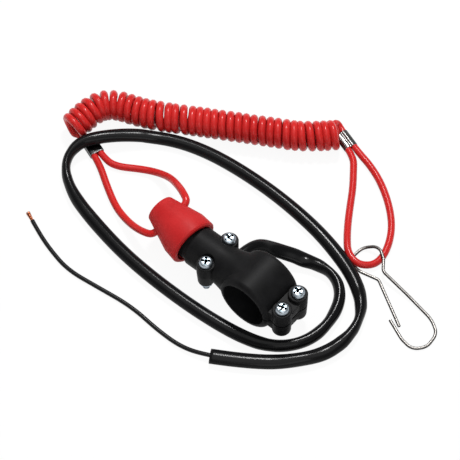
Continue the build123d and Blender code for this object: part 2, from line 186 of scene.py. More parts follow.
def plasticFinish(name, sizes):
    made = Finish(name, specularIORLevel=sizes["shine"])
    cloud = made.noise(sizes["grain"] * plasticMix["cloudSize"], 4)
    grain = made.noise(sizes["grain"], 2)
    made.feed(made.shader.inputs["Base Color"], made.colour(
        cloud * plasticMix["cloudShare"] + grain * plasticMix["grainShare"], sizes["dark"], sizes["light"]))
    made.feed(made.shader.inputs["Roughness"], cloud * plasticMix["cloudRoughness"]
              + (sizes["roughness"] - plasticMix["middle"]) + grain * plasticMix["grainRoughness"])
    if sizes["grainDepth"]:
        made.bump(grain, sizes["grainDepth"])
    return made.material


# recess: the painted shade colour for grooves and recesses (teal on zinc, as a painted reflection)
metalFinishes = {
    # sides: painted shade on the sides of a wire or tube below 1, a painted highlight there above 1
    "zinc": {"dark": (0.34, 0.39, 0.43), "light": (0.52, 0.58, 0.63), "recess": (0.012, 0.034, 0.040),
             "edge": (0.30, 0.34, 0.40), "roughness": 0.36, "grain": 0.0004},
    "nickel": {"dark": (0.15, 0.148, 0.144), "light": (0.26, 0.257, 0.25), "recess": (0.06, 0.05, 0.05),
               "edge": (0.22, 0.22, 0.22), "roughness": 0.27, "grain": 0.0006, "sides": 0.45},
    # a darker copy of nickel: painted shade on the cap ferrule's top, and a painted highlight on its sides
    "nickelWithPaintedShade": {"dark": (0.05, 0.05, 0.05), "light": (0.09, 0.09, 0.09), "recess": (0.05, 0.05, 0.05),
                      "edge": (0.22, 0.22, 0.22), "roughness": 0.27, "grain": 0.0006, "sides": 7.0},
    "hookSteel": {"dark": (0.21, 0.20, 0.19), "light": (0.34, 0.325, 0.31), "recess": (0.06, 0.05, 0.05),
                  "edge": (0.12, 0.12, 0.13), "roughness": 0.40, "grain": 0.0008, "sides": 0.10},
    "springSteel": {"dark": (0.36, 0.36, 0.38), "light": (0.52, 0.52, 0.54), "recess": (0.05, 0.05, 0.05),
                    "edge": (0.30, 0.30, 0.30), "roughness": 0.28, "grain": 0.0004},
    "brass": {"dark": (0.60, 0.40, 0.15), "light": (0.76, 0.56, 0.26), "recess": (0.10, 0.06, 0.03),
              "edge": (0.50, 0.40, 0.20), "roughness": 0.30, "grain": 0.0005},
    "copper": {"dark": (0.44, 0.12, 0.055), "light": (0.66, 0.25, 0.13), "recess": (0.05, 0.014, 0.008),
               "edge": (0.40, 0.20, 0.12), "roughness": 0.34, "grain": 0.0003},
}

metalMix = {"stainSize": 6, "stainShare": 0.6, "brushedShare": 0.4, "stretch": (1, 6, 1),
            "stainRoughness": 0.10, "brushedRoughness": 0.05, "middle": 0.06, "scratch": 0.000003,
            "sideStart": 0.42, "topStart": 0.78, "recessShadeReach": 0.0016, "recessShadeLow": 0.45,
            "recessShadeHigh": 0.95}


def metalFinish(name, sizes):
    made = Finish(name, metallic=1.0, specularTint=sizes["edge"])
    stain = made.noise(sizes["grain"] * metalMix["stainSize"], 4)
    brushed = made.noise(sizes["grain"], 3, 0.6, metalMix["stretch"])
    faceColour = made.colour(stain * metalMix["stainShare"] + brushed * metalMix["brushedShare"],
                        sizes["dark"], sizes["light"])
    if "sides" in sizes:                     # painted shade: a wire or a tube is painted darker on its sides by the way its surface faces, and the cap's ferrule brighter there as a painted highlight
        facing = made.node("ShaderNodeNewGeometry", output="Normal")
        up = made.node("ShaderNodeSeparateXYZ", None, {"Vector": facing}, "Z")
        sideShadeMix = made.node("ShaderNodeMapRange", None, {
            "Value": up, "From Min": metalMix["sideStart"], "From Max": metalMix["topStart"]})
        faceColour = made.mix(sideShadeMix, tuple(value * sizes["sides"] for value in sizes["dark"]), faceColour)
    # painted shade: grooves and recesses get the dark recess colour in place of the metal's own
    unshadedShare = made.crevice(metalMix["recessShadeReach"], metalMix["recessShadeLow"], metalMix["recessShadeHigh"])
    made.feed(made.shader.inputs["Base Color"], made.mix(unshadedShare, sizes["recess"], faceColour))
    made.feed(made.shader.inputs["Roughness"], stain * metalMix["stainRoughness"]
              + (sizes["roughness"] - metalMix["middle"]) + brushed * metalMix["brushedRoughness"])
    made.bump(brushed, metalMix["scratch"])
    return made.material


blackPlastic = plasticFinish("blackPlastic", housingFinish)
redRubber = plasticFinish("redRubber", capFinish)
redCord = plasticFinish("redCord", cordFinish)
blackSleeve = plasticFinish("blackSleeve", sleeveFinish)
wireJacket = plasticFinish("wireJacket", wireFinish)
plungerPlastic = plasticFinish("plungerPlastic", dict(housingFinish, light=(0.03, 0.03, 0.03)))
insulatorBoard = plasticFinish("insulatorBoard",
                               dict(housingFinish, dark=(0.24, 0.13, 0.06), light=(0.32, 0.18, 0.09)))
metals = {name: metalFinish(name, sizes) for name, sizes in metalFinishes.items()}
print("finishes made")


def dress(node, material):                   # a CAD node that is shown keeps its shape and gets the finish
    for place in frame["nodes"][node].material_slots:
        place.material = material


shownNodes = {
    "housing_nuts": metals["zinc"], "clamp_nuts": metals["zinc"], "plunger": plungerPlastic,
    "contact_disc": metals["brass"], "contact_base": insulatorBoard, "terminal_signal": metals["brass"],
    "ground_strip": metals["brass"], "plunger_spring": metals["springSteel"],
}
for node, material in shownNodes.items():
    dress(node, material)


def keepObject(name, mesh):
    made = bpy.data.objects.new(name, mesh)
    bpy.context.scene.collection.objects.link(made)
    return made


def settled(made):                           # the object with its modifiers worked into a plain mesh
    bpy.context.view_layer.update()
    mesh = bpy.data.meshes.new_from_object(made.evaluated_get(bpy.context.evaluated_depsgraph_get()))
    mesh.name = made.name
    mesh.validate()
    made.modifiers.clear()
    made.data = mesh
    return made


# The moulded halves, the cap and the hook keep the part's shape, with smooth shading and eased edges
smoothedNodes = {
    "housing_upper": {"name": "upperHalf", "material": blackPlastic, "slot": "black_plastic",
                      "body": "housing", "edge": 0.00022},
    "housing_lower": {"name": "lowerHalf", "material": blackPlastic, "slot": "black_plastic",
                      "body": "housing", "edge": 0.00022},
    "tether_cap": {"name": "pullCap", "material": redRubber, "slot": "red_rubber",
                   "body": "cap", "edge": 0.00030},
    "snap_hook": {"name": "wireHook", "material": metals["hookSteel"], "slot": "nickel",
                  "body": "housing", "edge": 0.0},
}

easing = {"mergeWithin": 0.000002, "flatWithin": math.radians(0.5), "sharpFrom": math.radians(34), "steps": 2}


def easedCopy(node, sizes):
    mesh = frame["nodes"][node].data.copy()
    mesh.name = sizes["name"]
    shape = bmesh.new()
    shape.from_mesh(mesh)
    bmesh.ops.remove_doubles(shape, verts=shape.verts, dist=easing["mergeWithin"])
    bmesh.ops.dissolve_limit(shape, angle_limit=easing["flatWithin"], verts=shape.verts, edges=shape.edges)
    shape.to_mesh(mesh)
    shape.free()
    mesh.materials.clear()
    mesh.materials.append(sizes["material"])
    mesh.shade_smooth()
    mesh.set_sharp_from_angle(angle=easing["sharpFrom"])
    made = keepObject(sizes["name"], mesh)
    if sizes["edge"]:
        eased = made.modifiers.new("easedEdges", "BEVEL")
        eased.width = sizes["edge"]
        eased.segments = easing["steps"]
        eased.limit_method = "ANGLE"
        eased.angle_limit = easing["sharpFrom"]
        eased.harden_normals = True
        settled(made)
    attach(made, sizes["body"])
    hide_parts(node)
    return made


eased = {node: easedCopy(node, sizes) for node, sizes in smoothedNodes.items()}
print("moulded pieces eased")


guideResolution = 6                          # steps between two points of a route that is only measured


def nurbsPath(name, points, resolution, radii=None):
    curve = bpy.data.curves.new(name, "CURVE")
    curve.dimensions = "3D"
    curve.resolution_u = resolution
    spline = curve.splines.new("NURBS")
    spline.points.add(len(points) - 1)
    for index, point in enumerate(points):
        spline.points[index].co = (*point, 1)
        spline.points[index].radius = radii[index] if radii else 1.0
    spline.order_u = 3
    spline.use_endpoint_u = True
    return keepObject(name, curve)


def nurbsCord(name, points, sizes, material, radii=None):       # a round cord along a smooth curve
    made = nurbsPath(name, points, sizes["resolution"], radii)
    made.data.bevel_depth = sizes["diameter"] / 2
    made.data.bevel_resolution = 3
    made.data.use_fill_caps = True
    made.data.materials.append(material)
    return made


def pathSpots(points):                       # the line of the smooth curve along a route
    guide = nurbsPath("guide", points, guideResolution)
    bpy.context.view_layer.update()
    line = bpy.data.meshes.new_from_object(guide.evaluated_get(bpy.context.evaluated_depsgraph_get()))
    spots = [vertex.co.copy() for vertex in line.vertices]
    bpy.data.objects.remove(guide)
    bpy.data.meshes.remove(line)
    return spots


def lineLength(spots):
    return sum((second - first).length for first, second in zip(spots, spots[1:]))


def evenSpots(spots, step):                  # the same line, in equal steps
    lengths = [0.0]
    for first, second in zip(spots, spots[1:]):
        lengths.append(lengths[-1] + (second - first).length)
    count = max(2, round(lengths[-1] / step))
    even, index = [], 0
    for number in range(count + 1):
        target = lengths[-1] * number / count
        while index < len(lengths) - 2 and lengths[index + 1] < target:
            index += 1
        share = (target - lengths[index]) / max(1e-9, lengths[index + 1] - lengths[index])
        even.append(spots[index].lerp(spots[index + 1], min(1.0, share)))
    return even


def alongFrames(spots):                      # tangent, side and up at each spot, with up kept towards +Z
    frames = []
    for index in range(len(spots)):
        tangent = (spots[min(index + 1, len(spots) - 1)] - spots[max(index - 1, 0)]).normalized()
        side = tangent.cross(Vector((0, 0, 1)))
        if side.length < 0.05:               # an upright stretch keeps the side of the spot before
            side = frames[-1][1] if frames else Vector((1, 0, 0))
        side = side.normalized()
        frames.append((tangent, side, side.cross(tangent).normalized()))
    return frames


def meshObject(name, vertices, faces, material, smooth=True):
    mesh = bpy.data.meshes.new(name)
    mesh.from_pydata(vertices, [], faces)
    mesh.validate()
    mesh.materials.append(material)
    if smooth:
        mesh.shade_smooth()
    return keepObject(name, mesh)


def ringMesh(name, rings, material):         # a skin over the rings, closed at both ends
    count = len(rings[0])
    vertices = [spot for ring in rings for spot in ring]
    faces = []
    for row in range(len(rings) - 1):
        for index in range(count):
            after = (index + 1) % count
            faces.append((row * count + index, row * count + after,
                          (row + 1) * count + after, (row + 1) * count + index))
    faces.append(tuple(reversed(range(count))))
    faces.append(tuple((len(rings) - 1) * count + index for index in range(count)))
    made = meshObject(name, vertices, faces, material)
    shape = bmesh.new()
    shape.from_mesh(made.data)
    bmesh.ops.recalc_face_normals(shape, faces=shape.faces)
    shape.to_mesh(made.data)
    shape.free()
    return made


cordSizes = {"diameter": 0.0034, "sides": 18, "step": 0.0008, "resolution": 5, "ferruleSqueeze": 0.92,
             "squeezedEnds": 14}
cordZ = floorZ + cordSizes["diameter"] / 2
low = cordZ / mm                             # where a cord lies on the floor, in millimetres
ferruleSizes = {"length": 0.0094, "halfHeight": 0.00182, "wall": 0.0003, "mouth": 0.0014,
                "strandSide": 0.00164, "around": 72, "grooveWidth": 0.00045, "lip": 0.0001}
capFerrule = {"middle": (-112.9, 16.0, -12.10), "turn": -20, "halfWidth": 0.0035, "squareness": 6.0,
              "groove": 0.04}
hookFerrule = {"middle": (-25.3, 94.2, -12.10), "turn": -20, "halfWidth": 0.0034, "squareness": 2.5,
               "groove": 0.40}
inside, beside = 1.5, 9.6                    # from a ferrule's middle, in millimetres: a cord's end in it,
                                             # and the spot to which the two strands of a loop keep together


def onFerrule(ferrule, along, side):         # a spot on one of the two strands that a ferrule holds
    turn = Matrix.Rotation(math.radians(ferrule["turn"]), 3, "Z")
    offset = Vector((along * mm, side * ferruleSizes["strandSide"], 0))
    return Vector(ferrule["middle"]) * mm + turn @ offset


# The loop through the cap, a tube that follows its own line
capLoopRoute = [
    onFerrule(capFerrule, inside, 1),
    onFerrule(capFerrule, beside, 1),
    *inMetres([(-96.6, 15.2, low), (-88.0, 20.8, low), (-80.6, 23.9, -11.3), (-71.5, 23.0, -6.1),
               (-63.2, 19.0, 0.0), (-56.4, 15.3, 3.9), (-51.36, 12.38, 4.36), (-52.48, 6.20, 2.33),
               (-54.11, -2.78, -0.62), (-54.96, -7.46, -2.16), (-59.6, -8.1, -4.0), (-66.0, -7.2, -7.2),
               (-73.6, -5.2, -10.2), (-82.6, -2.0, low), (-93.6, 4.2, low)]),
    onFerrule(capFerrule, beside, -1),
    onFerrule(capFerrule, inside, -1),
]


def loopTube(name, spots, material):         # thinner at both ends, where a ferrule presses it
    squeeze, sides = cordSizes["ferruleSqueeze"], cordSizes["sides"]
    rings = []
    for index, (spot, (tangent, side, up)) in enumerate(zip(spots, alongFrames(spots))):
        toEnd = min(index, len(spots) - 1 - index) / len(spots)
        full = squeeze + (1 - squeeze) * min(1.0, toEnd * cordSizes["squeezedEnds"])
        radius = cordSizes["diameter"] / 2 * full
        rings.append([spot + side * math.cos(angle) * radius + up * math.sin(angle) * radius
                      for angle in (2 * math.pi * turn / sides for turn in range(sides))])
    return ringMesh(name, rings, material)


capLoopSpots = evenSpots(pathSpots(capLoopRoute), cordSizes["step"])
capLoop = loopTube("capLoopCord", capLoopSpots, redCord)
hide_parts("cap_loop")
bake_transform(capLoop)

# The coil and the hook's loop are one cord: out of the first ferrule, round the turns, through the second
coilSizes = {"lineStep": 0.0002, "outer": 0.0144, "turns": 35.12, "pointsPerTurn": 14, "seed": 11,
             "swell": 1.025, "firstPitch": 0.00382, "lastPitch": 0.00364, "pitchJitter": 0.09,
             "radiusJitter": 0.010, "leanJitter": 0.0004, "startLean": 0.22, "startSwing": 0.36,
             "leanTurns": 8, "thickness": 1.10}
coilZ = (floorZ + coilSizes["outer"] / 2) / mm
coilLine = inMetres([(-124.5, 15.2, coilZ), (-125.3, 28.8, coilZ), (-119.9, 38.2, coilZ),
                     (-103.6, 43.1, coilZ), (-82.0, 55.8, coilZ), (-52.0, 73.0, coilZ),
                     (-38.3, 80.6, coilZ), (-28.1, 91.1, coilZ)])


def coilPoints():
    chance = random.Random(coilSizes["seed"])
    line = evenSpots(pathSpots(coilLine), coilSizes["lineStep"])
    frames = alongFrames(line)
    turns, perTurn = coilSizes["turns"], coilSizes["pointsPerTurn"]
    radius = (coilSizes["outer"] - cordSizes["diameter"] * coilSizes["thickness"]) / 2 * coilSizes["swell"]
    wobbles = [[chance.uniform(-1, 1) for turn in range(int(turns) + 3)] for kind in range(3)]
    first, last = coilSizes["firstPitch"], coilSizes["lastPitch"]
    whole = (first + last) / 2 * turns
    points = []
    for number in range(round(turns * perTurn) + 1):
        turn = number / perTurn
        index, between = int(turn), turn - int(turn)
        pitch, size, lean = [wobble[index] * (1 - between) + wobble[index + 1] * between
                             for wobble in wobbles]
        along = (first * turn + (last - first) * turn * turn / (2 * turns)) / whole
        ends = min(1.0, turn, max(0.0, turns - turn))
        along += pitch * ends * coilSizes["pitchJitter"] / turns
        place = min(len(line) - 1, max(0, round(along * (len(line) - 1))))
        tangent, side, up = frames[place]
        angle = -math.pi / 2 - 2 * math.pi * turn
        reach = radius * (1 - coilSizes["radiusJitter"] * (1 + size))
        drop = radius - reach                # a smaller turn still rests on the floor
        loose = max(0.0, 1 - turn / coilSizes["leanTurns"])     # the free end leans over and swings round
        tilt = math.sin(angle) * coilSizes["startLean"] + math.cos(angle) * coilSizes["startSwing"]
        points.append(line[place] + side * math.cos(angle) * reach
                      + up * (math.sin(angle) * reach - drop)
                      + tangent * (lean * ends * coilSizes["leanJitter"] - tilt * loose * reach))
    return points


hookLoopRoute = [
    onFerrule(hookFerrule, beside, 1),
    *inMetres([(-8.6, 90.6, low), (0.9, 86.4, low), (11.0, 79.4, low), (19.2, 71.4, low),
               (24.4, 63.0, low), (27.3, 54.0, low), (26.2, 47.5, -12.0), (20.9, 43.2, -10.9),
               (13.9, 45.6, -10.8), (9.6, 50.6, -10.9), (4.4, 57.8, -12.0), (-1.0, 66.4, low),
               (-6.4, 75.4, low), (-12.0, 83.0, low)]),
    onFerrule(hookFerrule, beside, -1),
    onFerrule(hookFerrule, inside, -1),
]
coilTurns = coilPoints()
lanyardRoute = [
    onFerrule(capFerrule, 1.0, -1), onFerrule(capFerrule, -4.5, -1),
    *inMetres([(-121.0, 17.2, low), (-123.4, 17.0, low)]),
    *coilTurns,
    *inMetres([(-34.1, 95.5, -8.4), (-34.2, 98.8, -10.4)]),
    onFerrule(hookFerrule, -7.2, 1), onFerrule(hookFerrule, -4.7, 1), onFerrule(hookFerrule, inside, 1),
    *hookLoopRoute,
]
squeezed = cordSizes["ferruleSqueeze"]
lanyardRadii = ([squeezed] * 2 + [1.0] * 2 + [coilSizes["thickness"]] * len(coilTurns)
                + [1.0] * 3 + [squeezed] * 2 + [1.0] * (len(hookLoopRoute) - 1) + [squeezed])
lanyard = nurbsCord("lanyardCord", lanyardRoute, cordSizes, redCord, lanyardRadii)
lanyardSpots = pathSpots(lanyardRoute)
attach(lanyard, "housing")
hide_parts("lanyard_coil", "hook_loop")
print("red cords laid", round(lineLength(capLoopSpots), 4), round(lineLength(lanyardSpots), 4))


def ferruleRing(ferrule, along, inset):      # one section of a crimped tube over two cords
    ring = []
    turn = Matrix.Rotation(math.radians(ferrule["turn"]), 3, "Z")
    power = 2 / ferrule["squareness"]
    for number in range(ferruleSizes["around"]):
        angle = 2 * math.pi * number / ferruleSizes["around"]
        wide, high = math.cos(angle), math.sin(angle)
        across = (ferrule["halfWidth"] - inset) * math.copysign(abs(wide) ** power, wide)
        up = (ferruleSizes["halfHeight"] - inset) * math.copysign(abs(high) ** power, high)
        up *= 1 - ferrule["groove"] * math.exp(-(across / ferruleSizes["grooveWidth"]) ** 2)
        ring.append(Vector(ferrule["middle"]) * mm + turn @ Vector((along, across, up)))
    return ring


def crimpFerrule(name, ferrule, node, metal):
    half, wall, mouth = ferruleSizes["length"] / 2, ferruleSizes["wall"], ferruleSizes["mouth"]
    lip = ferruleSizes["lip"]
    rows = [(half - mouth, wall), (half - lip, wall), (half, wall * 0.7), (half, wall * 0.3),
            (half - lip * 0.6, lip * 0.3), (half - lip * 2.2, 0.0), (half - lip * 4, 0.0), (half * 0.6, 0.0)]
    rings = [ferruleRing(ferrule, -along, inset) for along, inset in rows]
    rings += [ferruleRing(ferrule, along, inset) for along, inset in reversed(rows)]
    made = ringMesh(name, rings, metals[metal])
    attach(made, "housing")
    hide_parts(node)
    return made


# the cap's ferrule gets the nickel copy with painted shade on its top and painted highlights on its sides
capCrimp = crimpFerrule("capCrimp", capFerrule, "cap_ferrule", "nickelWithPaintedShade")
hookCrimp = crimpFerrule("hookCrimp", hookFerrule, "hook_ferrule", "nickel")

# The lead: a soft hollow sleeve, squashed here and there, with one thin wire in it
sleeveSizes = {"diameter": 0.0060, "sides": 28, "step": 0.0015, "wall": 0.0008, "openEnd": 0.012,
               "liftOver": 0.0015, "pinchRise": 0.2}
sleeveRoute = inMetres([
    (-17.0, 6.05, 0), (-17.0, 17.0, 0), (-9.5, 24.8, -8.0), (4.5, 31.6, -11.1), (17.5, 32.4, -11.1),
    (26.8, 25.0, -11.1), (30.9, 10.5, -11.1), (28.8, -3.0, -11.1), (20.0, -13.6, -11.1), (6.0, -18.4, -11.1),
    (-16.0, -20.7, -11.1), (-40.0, -20.8, -11.1), (-62.0, -19.2, -11.1), (-83.0, -15.2, -11.1),
    (-101.0, -10.4, -11.1), (-114.8, -1.8, -9.6), (-117.6, 10.0, -7.6), (-112.2, 19.5, -7.1),
    (-101.8, 32.1, -9.2), (-88.0, 42.0, -11.1), (-70.0, 47.6, -11.1), (-48.0, 49.6, -11.1),
    (-24.0, 49.0, -11.1), (0.0, 45.6, -11.1), (22.0, 38.4, -11.1), (36.2, 28.4, -11.1), (42.0, 14.5, -11.1),
    (39.0, -2.0, -11.1), (29.0, -15.2, -11.1), (15.0, -26.4, -11.1), (1.2, -34.4, -11.1)])
# share of the way along the sleeve, and its width there against the round sleeve's
sleeveShape = [(0.0, 0.93), (0.012, 0.93), (0.044, 1.26), (0.066, 1.26), (0.082, 0.98), (0.094, 0.72),
               (0.112, 0.86), (0.137, 0.92), (0.152, 0.80), (0.165, 0.90), (0.192, 0.85), (0.205, 0.88),
               (0.222, 1.03), (0.24, 1.07), (0.41, 1.05), (0.435, 1.0), (0.462, 0.80), (0.476, 0.68),
               (0.489, 0.71), (0.50, 0.88), (0.522, 1.04), (0.553, 1.12), (0.587, 1.05), (0.69, 1.05),
               (0.75, 1.1), (0.784, 1.13), (0.824, 1.07), (0.84, 0.94), (0.857, 0.68), (0.87, 0.80),
               (0.885, 1.04), (0.901, 1.12), (0.92, 1.04), (0.951, 1.16), (1.0, 1.2)]


def shapeAt(shape, share):
    for (x0, y0), (x1, y1) in zip(shape, shape[1:]):
        if share <= x1:
            mix = (share - x0) / (x1 - x0)
            mix = mix * mix * (3 - 2 * mix)
            return y0 + (y1 - y0) * mix
    return shape[-1][1]


def sleeveTube():
    spots = evenSpots(pathSpots(sleeveRoute), sleeveSizes["step"])
    frames = alongFrames(spots)
    outer, inner = [], []
    half = sleeveSizes["diameter"] / 2
    sleeveRest = sleeveRoute[-1].z
    openSpots = round(sleeveSizes["openEnd"] / sleeveSizes["step"])
    for index, (spot, (tangent, side, up)) in enumerate(zip(spots, frames)):
        wide = shapeAt(sleeveShape, index / (len(spots) - 1))
        across = half * wide
        height = half * (2 - wide) if wide > 1 else half * (1 + (1 - wide) * sleeveSizes["pinchRise"])
        lifted = min(1.0, max(0.0, (spot.z - sleeveRest) / sleeveSizes["liftOver"]))
        resting = floorZ + height            # a flattened stretch lies lower
        level = resting * (1 - lifted) + max(spot.z, resting) * lifted
        drop = Vector((0, 0, level - spot.z))
        for rings, wall, start in ((outer, 0.0, 0), (inner, sleeveSizes["wall"], len(spots) - openSpots)):
            if index >= start:
                rings.append([spot + drop + side * math.cos(angle) * (across - wall)
                              + up * math.sin(angle) * (height - wall)
                              for angle in (2 * math.pi * turn / sleeveSizes["sides"]
                                            for turn in range(sleeveSizes["sides"]))])
    return spots, ringMesh("leadSleeve", outer + inner[::-1], blackSleeve)


sleeveSpots, sleeve = sleeveTube()
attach(sleeve, "housing")
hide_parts("cable_sleeve")

wireSizes = {"diameter": 0.0020, "resolution": 8}
wireStart = inMetres([(-17.0, 4.45, 0)])     # a little further in than the sleeve's
wireRoute = wireStart + sleeveRoute[1:] + inMetres([
    (-10.5, -38.4, -12.5), (-24.5, -38.6, -12.9), (-42.0, -36.8, -12.9), (-60.0, -38.9, -12.9),
    (-76.5, -40.8, -12.9), (-90.0, -37.8, -12.9), (-99.5, -34.6, -12.9), (-106.6, -31.6, -12.9)])
wire = nurbsCord("signalWire", wireRoute, wireSizes, wireJacket)
wireSpots = pathSpots(wireRoute)
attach(wire, "housing")
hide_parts("signal_wire")
print("lead laid", round(lineLength(sleeveSpots), 4), round(lineLength(wireSpots), 4))


class Growth:                                # one Geometry Nodes tree with named inputs
    def __init__(self, name, sizes):
        self.tree = bpy.data.node_groups.new(name, "GeometryNodeTree")
        self.tree.interface.new_socket("Geometry", in_out="INPUT", socket_type="NodeSocketGeometry")
        self.tree.interface.new_socket("Geometry", in_out="OUTPUT", socket_type="NodeSocketGeometry")
        self.ids = {}
        for label, value in sizes.items():
            kind = "NodeSocketInt" if isinstance(value, int) else "NodeSocketFloat"
            made = self.tree.interface.new_socket(label, in_out="INPUT", socket_type=kind)
            self.ids[label] = made.identifier
        self.start = self.tree.nodes.new("NodeGroupInput")
        self.end = self.tree.nodes.new("NodeGroupOutput")
        self.sizes = sizes

    def size(self, label):
        return self.start.outputs[label]

    def node(self, kind, settings=None, sockets=None):
        made = self.tree.nodes.new(kind)
        for name, value in (settings or {}).items():
            setattr(made, name, value)
        for name, value in (sockets or {}).items():
            for each in value if isinstance(value, list) else [value]:
                if isinstance(each, bpy.types.NodeSocket):
                    self.tree.links.new(each, made.inputs[name])
                else:
                    made.inputs[name].default_value = each
        return made

    def sum(self, operation, first, second=0.0):
        return self.node("ShaderNodeMath", {"operation": operation}, {0: first, 1: second}).outputs[0]

    def spot(self, x=0.0, y=0.0, z=0.0):
        return self.node("ShaderNodeCombineXYZ", None, {"X": x, "Y": y, "Z": z}).outputs[0]

    def joined(self, *parts):
        return self.node("GeometryNodeJoinGeometry", None, {"Geometry": list(parts)}).outputs[0]

    def grow(self, name, geometry, material):
        whole = self.node("GeometryNodeRealizeInstances", None, {"Geometry": geometry})
        painted = self.node("GeometryNodeSetMaterial", None, {
            "Geometry": whole.outputs[0], "Material": material})
        self.tree.links.new(painted.outputs[0], self.end.inputs[0])
        made = keepObject(name, bpy.data.meshes.new(name))
        modifier = made.modifiers.new(name, "NODES")
        modifier.node_group = self.tree
        for label, value in self.sizes.items():
            modifier[self.ids[label]] = value
        return settled(made)


# Pan head screws with a cross recess and a rolled thread, two of each
housingScrews = {"Head Radius": 0.00315, "Head Height": 0.0022, "Head Fullness": -0.62, "Head Crown": 0.85,
                 "Recess Span": 0.0042, "Recess Slot": 0.0012, "Recess Heart": 0.0020, "Recess Depth": 0.0011,
                 "Shank Radius": 0.0015, "Pitch": 0.0006, "Thread": 0.00016,
                 "First Turn": 0.55, "Turn Between": 0.85}
clampScrews = dict(housingScrews, **{"First Turn": 0.2, "Turn Between": 1.1})
screwMesh = {"headTurns": 48, "headRings": 28, "coreTurns": 28, "threadSteps": 16, "threadSides": 4,
             "sharpFrom": math.radians(32)}


def screwPair(name, sizes, node):
    lowCorner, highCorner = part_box(node)
    growth = Growth(name, dict(sizes, **{
        "Half Spacing": (highCorner.y - lowCorner.y) / 2 - sizes["Head Radius"],
        "Shank": highCorner.z - lowCorner.z - sizes["Head Height"]}))
    size = growth.size

    # A round head with a flat crown: a ball whose width and height are bent by two powers
    ball = growth.node("GeometryNodeMeshUVSphere", None, {
        "Segments": screwMesh["headTurns"], "Rings": screwMesh["headRings"], "Radius": 1.0})
    x, y, z = growth.node("ShaderNodeSeparateXYZ", None, {
        "Vector": growth.node("GeometryNodeInputPosition").outputs[0]}).outputs
    squares = growth.sum("ADD", growth.sum("MULTIPLY", x, x), growth.sum("MULTIPLY", y, y))
    away = growth.sum("MAXIMUM", growth.sum("SQRT", squares), 0.001)
    widen = growth.sum("MULTIPLY", growth.sum("POWER", away, size("Head Fullness")), size("Head Radius"))
    crown = growth.sum("POWER", growth.sum("MAXIMUM", z), size("Head Crown"))
    head = growth.node("GeometryNodeSetPosition", None, {"Geometry": ball.outputs[0], "Position": growth.spot(
        growth.sum("MULTIPLY", x, widen), growth.sum("MULTIPLY", y, widen),
        growth.sum("MULTIPLY", crown, size("Head Height")))})

    slots = []
    deep = growth.sum("MULTIPLY", size("Recess Depth"), 2.0)
    bars = [("Recess Span", "Recess Slot", 0.0), ("Recess Span", "Recess Slot", math.pi / 2),
            ("Recess Heart", "Recess Heart", math.pi / 4)]
    for long, wide, turned in bars:
        bar = growth.node("GeometryNodeMeshCube", None, {"Size": growth.spot(size(long), size(wide), deep)})
        slots.append(growth.node("GeometryNodeTransform", None, {
            "Geometry": bar.outputs[0], "Translation": growth.spot(z=size("Head Height")),
            "Rotation": (0.0, 0.0, turned)}).outputs[0])
    cutHead = growth.node("GeometryNodeMeshBoolean", {"operation": "DIFFERENCE"}, {
        "Mesh 1": head.outputs[0], "Mesh 2": slots})

    halfDown, allDown = [growth.sum("MULTIPLY", size("Shank"), share) for share in (-0.5, -1.0)]
    core = growth.node("GeometryNodeMeshCylinder", {"fill_type": "NGON"}, {
        "Vertices": screwMesh["coreTurns"], "Radius": size("Shank Radius"), "Depth": size("Shank")})
    coreDown = growth.node("GeometryNodeTransform", None, {
        "Geometry": core.outputs[0], "Translation": growth.spot(z=halfDown)})
    ridgeLine = growth.node("GeometryNodeCurveSpiral", None, {
        "Resolution": screwMesh["threadSteps"],
        "Rotations": growth.sum("DIVIDE", size("Shank"), size("Pitch")),
        "Start Radius": size("Shank Radius"), "End Radius": size("Shank Radius"), "Height": size("Shank")})
    section = growth.node("GeometryNodeCurvePrimitiveCircle", None, {
        "Resolution": screwMesh["threadSides"], "Radius": size("Thread")})
    ridge = growth.node("GeometryNodeCurveToMesh", None, {
        "Curve": ridgeLine.outputs[0], "Fill Caps": True, "Profile Curve": section.outputs[0]})
    ridgeDown = growth.node("GeometryNodeTransform", None, {
        "Geometry": ridge.outputs[0], "Translation": growth.spot(z=allDown)})

    screw = growth.joined(cutHead.outputs[0], coreDown.outputs[0], ridgeDown.outputs[0])
    places = growth.node("GeometryNodeMeshLine", None, {
        "Count": 2, "Start Location": growth.spot(y=growth.sum("MULTIPLY", size("Half Spacing"), -1.0)),
        "Offset": growth.spot(y=growth.sum("MULTIPLY", size("Half Spacing"), 2.0))})
    index = growth.node("GeometryNodeInputIndex").outputs[0]
    turned = growth.sum("ADD", growth.sum("MULTIPLY", index, size("Turn Between")), size("First Turn"))
    screws = growth.node("GeometryNodeInstanceOnPoints", None, {
        "Points": places.outputs[0], "Instance": screw, "Rotation": growth.spot(z=turned)})
    made = growth.grow(name, screws.outputs[0], metals["zinc"])
    middle = (lowCorner + highCorner) / 2
    made.data.transform(Matrix.Translation((middle.x, middle.y, highCorner.z - sizes["Head Height"])))
    made.data.shade_smooth()
    made.data.set_sharp_from_angle(angle=screwMesh["sharpFrom"])
    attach(made, "housing")
    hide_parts(node)
    return made


screwPair("housingPanScrews", housingScrews, "housing_screws")
screwPair("clampPanScrews", clampScrews, "clamp_screws")
print("screws grown")

# Bare copper: strands twisted round the wire's axis and a little frayed at the tip
copperSizes = {"Strands": 9, "Strand Radius": 0.00017, "Ring Radius": 0.00050, "Tip Radius": 0.00085,
               "Length": 0.0050, "Twist": 0.55, "Core Rise": 0.45}
copperDrop = 0.0001                          # the strands start this much below the wire's axis


